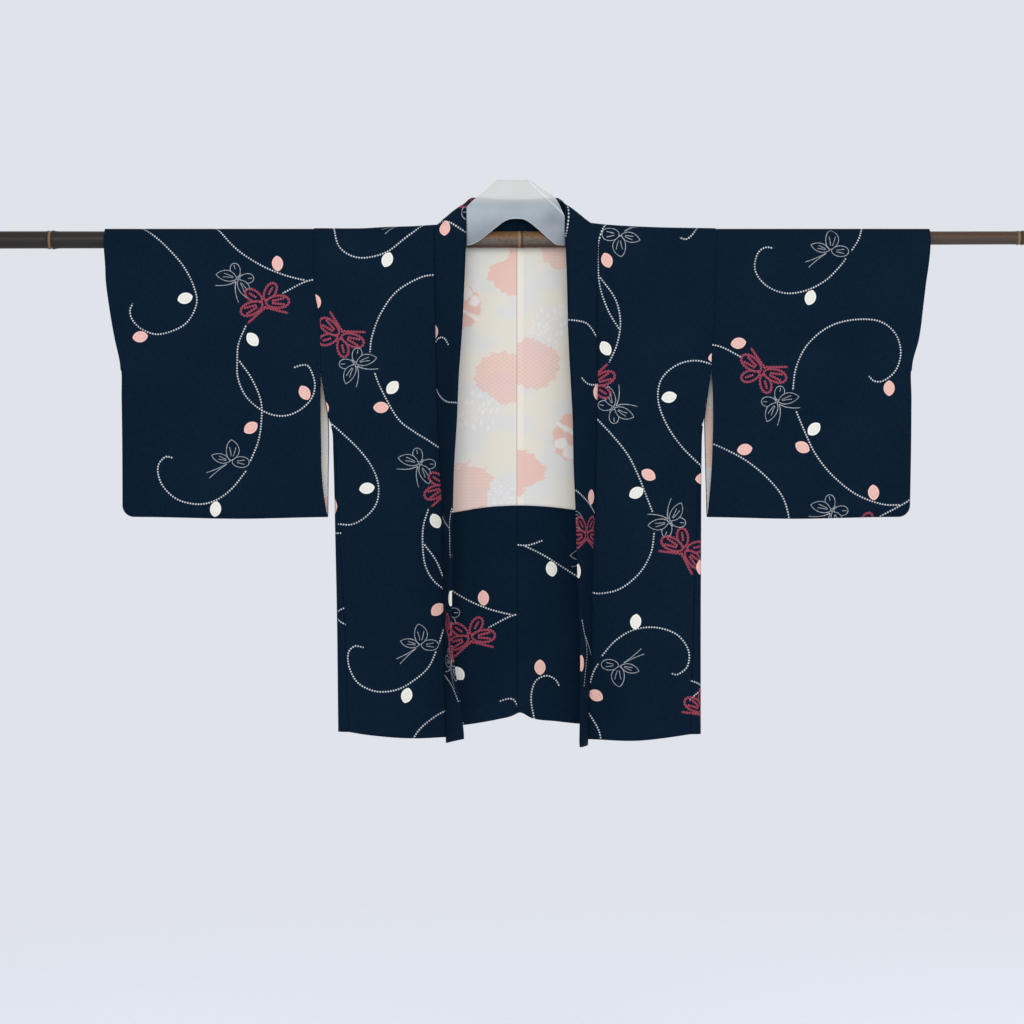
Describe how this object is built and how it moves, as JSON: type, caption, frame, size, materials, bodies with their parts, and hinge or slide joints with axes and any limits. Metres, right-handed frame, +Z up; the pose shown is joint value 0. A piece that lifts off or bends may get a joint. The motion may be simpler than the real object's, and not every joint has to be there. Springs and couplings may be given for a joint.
{
  "type": "haori jacket on a bamboo pole",
  "caption": "Lined haori jacket with open fronts and square sleeves, hung flat over a bamboo pole, its collar held up by a clear stay.",
  "frame": {"origin": "on the bamboo pole's axis, in the plane of the centre back seam", "axes": "+X along the pole, +Y to the back of the jacket, +Z up"},
  "size_m": [1.8, 0.0956, 0.8819],
  "materials": {
    "navy_crepe": "pebbly silk crepe, matt",
    "cream_lining": "smooth silk, soft sheen",
    "smoked_bamboo": "smoked bamboo, satin",
    "frosted_stay": "frosted, lets light through"
  },
  "bodies": {
    "root": {"body_left": "navy_crepe", "body_right": "navy_crepe", "sleeve_left": "navy_crepe", "sleeve_right": "navy_crepe", "gusset_left": "navy_crepe", "gusset_right": "navy_crepe", "collar_left": "navy_crepe", "collar_right": "navy_crepe", "back_lining_left": "cream_lining", "back_lining_right": "cream_lining", "sleeve_lining_left": "cream_lining", "sleeve_lining_right": "cream_lining", "bamboo_pole": "smoked_bamboo", "collar_stay": "frosted_stay"}
  },
  "joints": []
}
